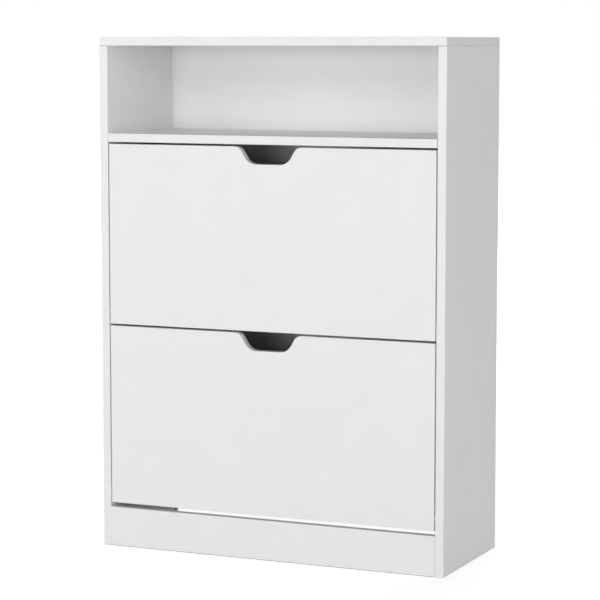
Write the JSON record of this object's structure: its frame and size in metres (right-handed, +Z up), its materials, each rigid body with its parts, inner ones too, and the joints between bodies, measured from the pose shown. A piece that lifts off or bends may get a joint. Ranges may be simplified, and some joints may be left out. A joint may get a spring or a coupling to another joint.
{
  "type": "shoe cabinet",
  "caption": "Slim white shoe cabinet: an open compartment above tip-out flaps, each with a trapezoid finger cut-out and an inner rack, on a kickboard between full-height sides.",
  "frame": {"origin": "on the floor, under the middle of the cabinet", "axes": "+Z up, -Y out of the front, +X to the right as seen from the front"},
  "size_m": [0.645, 0.263, 0.9],
  "materials": {
    "white_board": "matt white melamine on particleboard",
    "hardboard": "white printed hardboard, brown behind",
    "white_plastic": "satin white plastic",
    "black_plastic": "fine-grained black plastic",
    "zinc": "die-cast zinc",
    "steel": "bright zinc-plated steel",
    "beech": "fluted beech"
  },
  "bodies": {
    "carcass": {"top_panel": "white_board", "left_side_panel": "white_board", "right_side_panel": "white_board", "niche_shelf": "white_board", "kickboard": "white_board", "upper_rear_rail": "white_board", "lower_rear_rail": "white_board", "back_panel_upper": "hardboard", "back_panel_lower": "hardboard", "back_joint_strip": "white_plastic", "cam_locks": "zinc", "cam_bolts": "steel", "wooden_dowels": "beech", "top_screws": "steel", "top_screw_caps": "white_plastic", "back_screws": "steel", "pivot_bushings": "white_plastic", "stop_pins": "steel"},
    "upper_flap": {"upper_door": "white_board", "upper_left_frame": "black_plastic", "upper_right_frame": "black_plastic", "upper_rack_floor": "white_board", "upper_rack_divider": "white_board", "upper_rack_rear": "white_board", "upper_pivot_pins": "steel", "upper_rack_screws": "steel"},
    "lower_flap": {"lower_door": "white_board", "lower_left_frame": "black_plastic", "lower_right_frame": "black_plastic", "lower_rack_floor": "white_board", "lower_rack_divider": "white_board", "lower_rack_rear": "white_board", "lower_pivot_pins": "steel", "lower_rack_screws": "steel"}
  },
  "joints": [
    {"name": "upper_flap_tilt", "type": "hinge", "parent": "carcass", "child": "upper_flap", "pos_m": [0, -0.124, 0.4181], "axis": [1, 0, 0], "range_deg": [0, 48]},
    {"name": "lower_flap_tilt", "type": "hinge", "parent": "carcass", "child": "lower_flap", "pos_m": [0, -0.124, 0.0982], "axis": [1, 0, 0], "range_deg": [0, 48]}
  ]
}
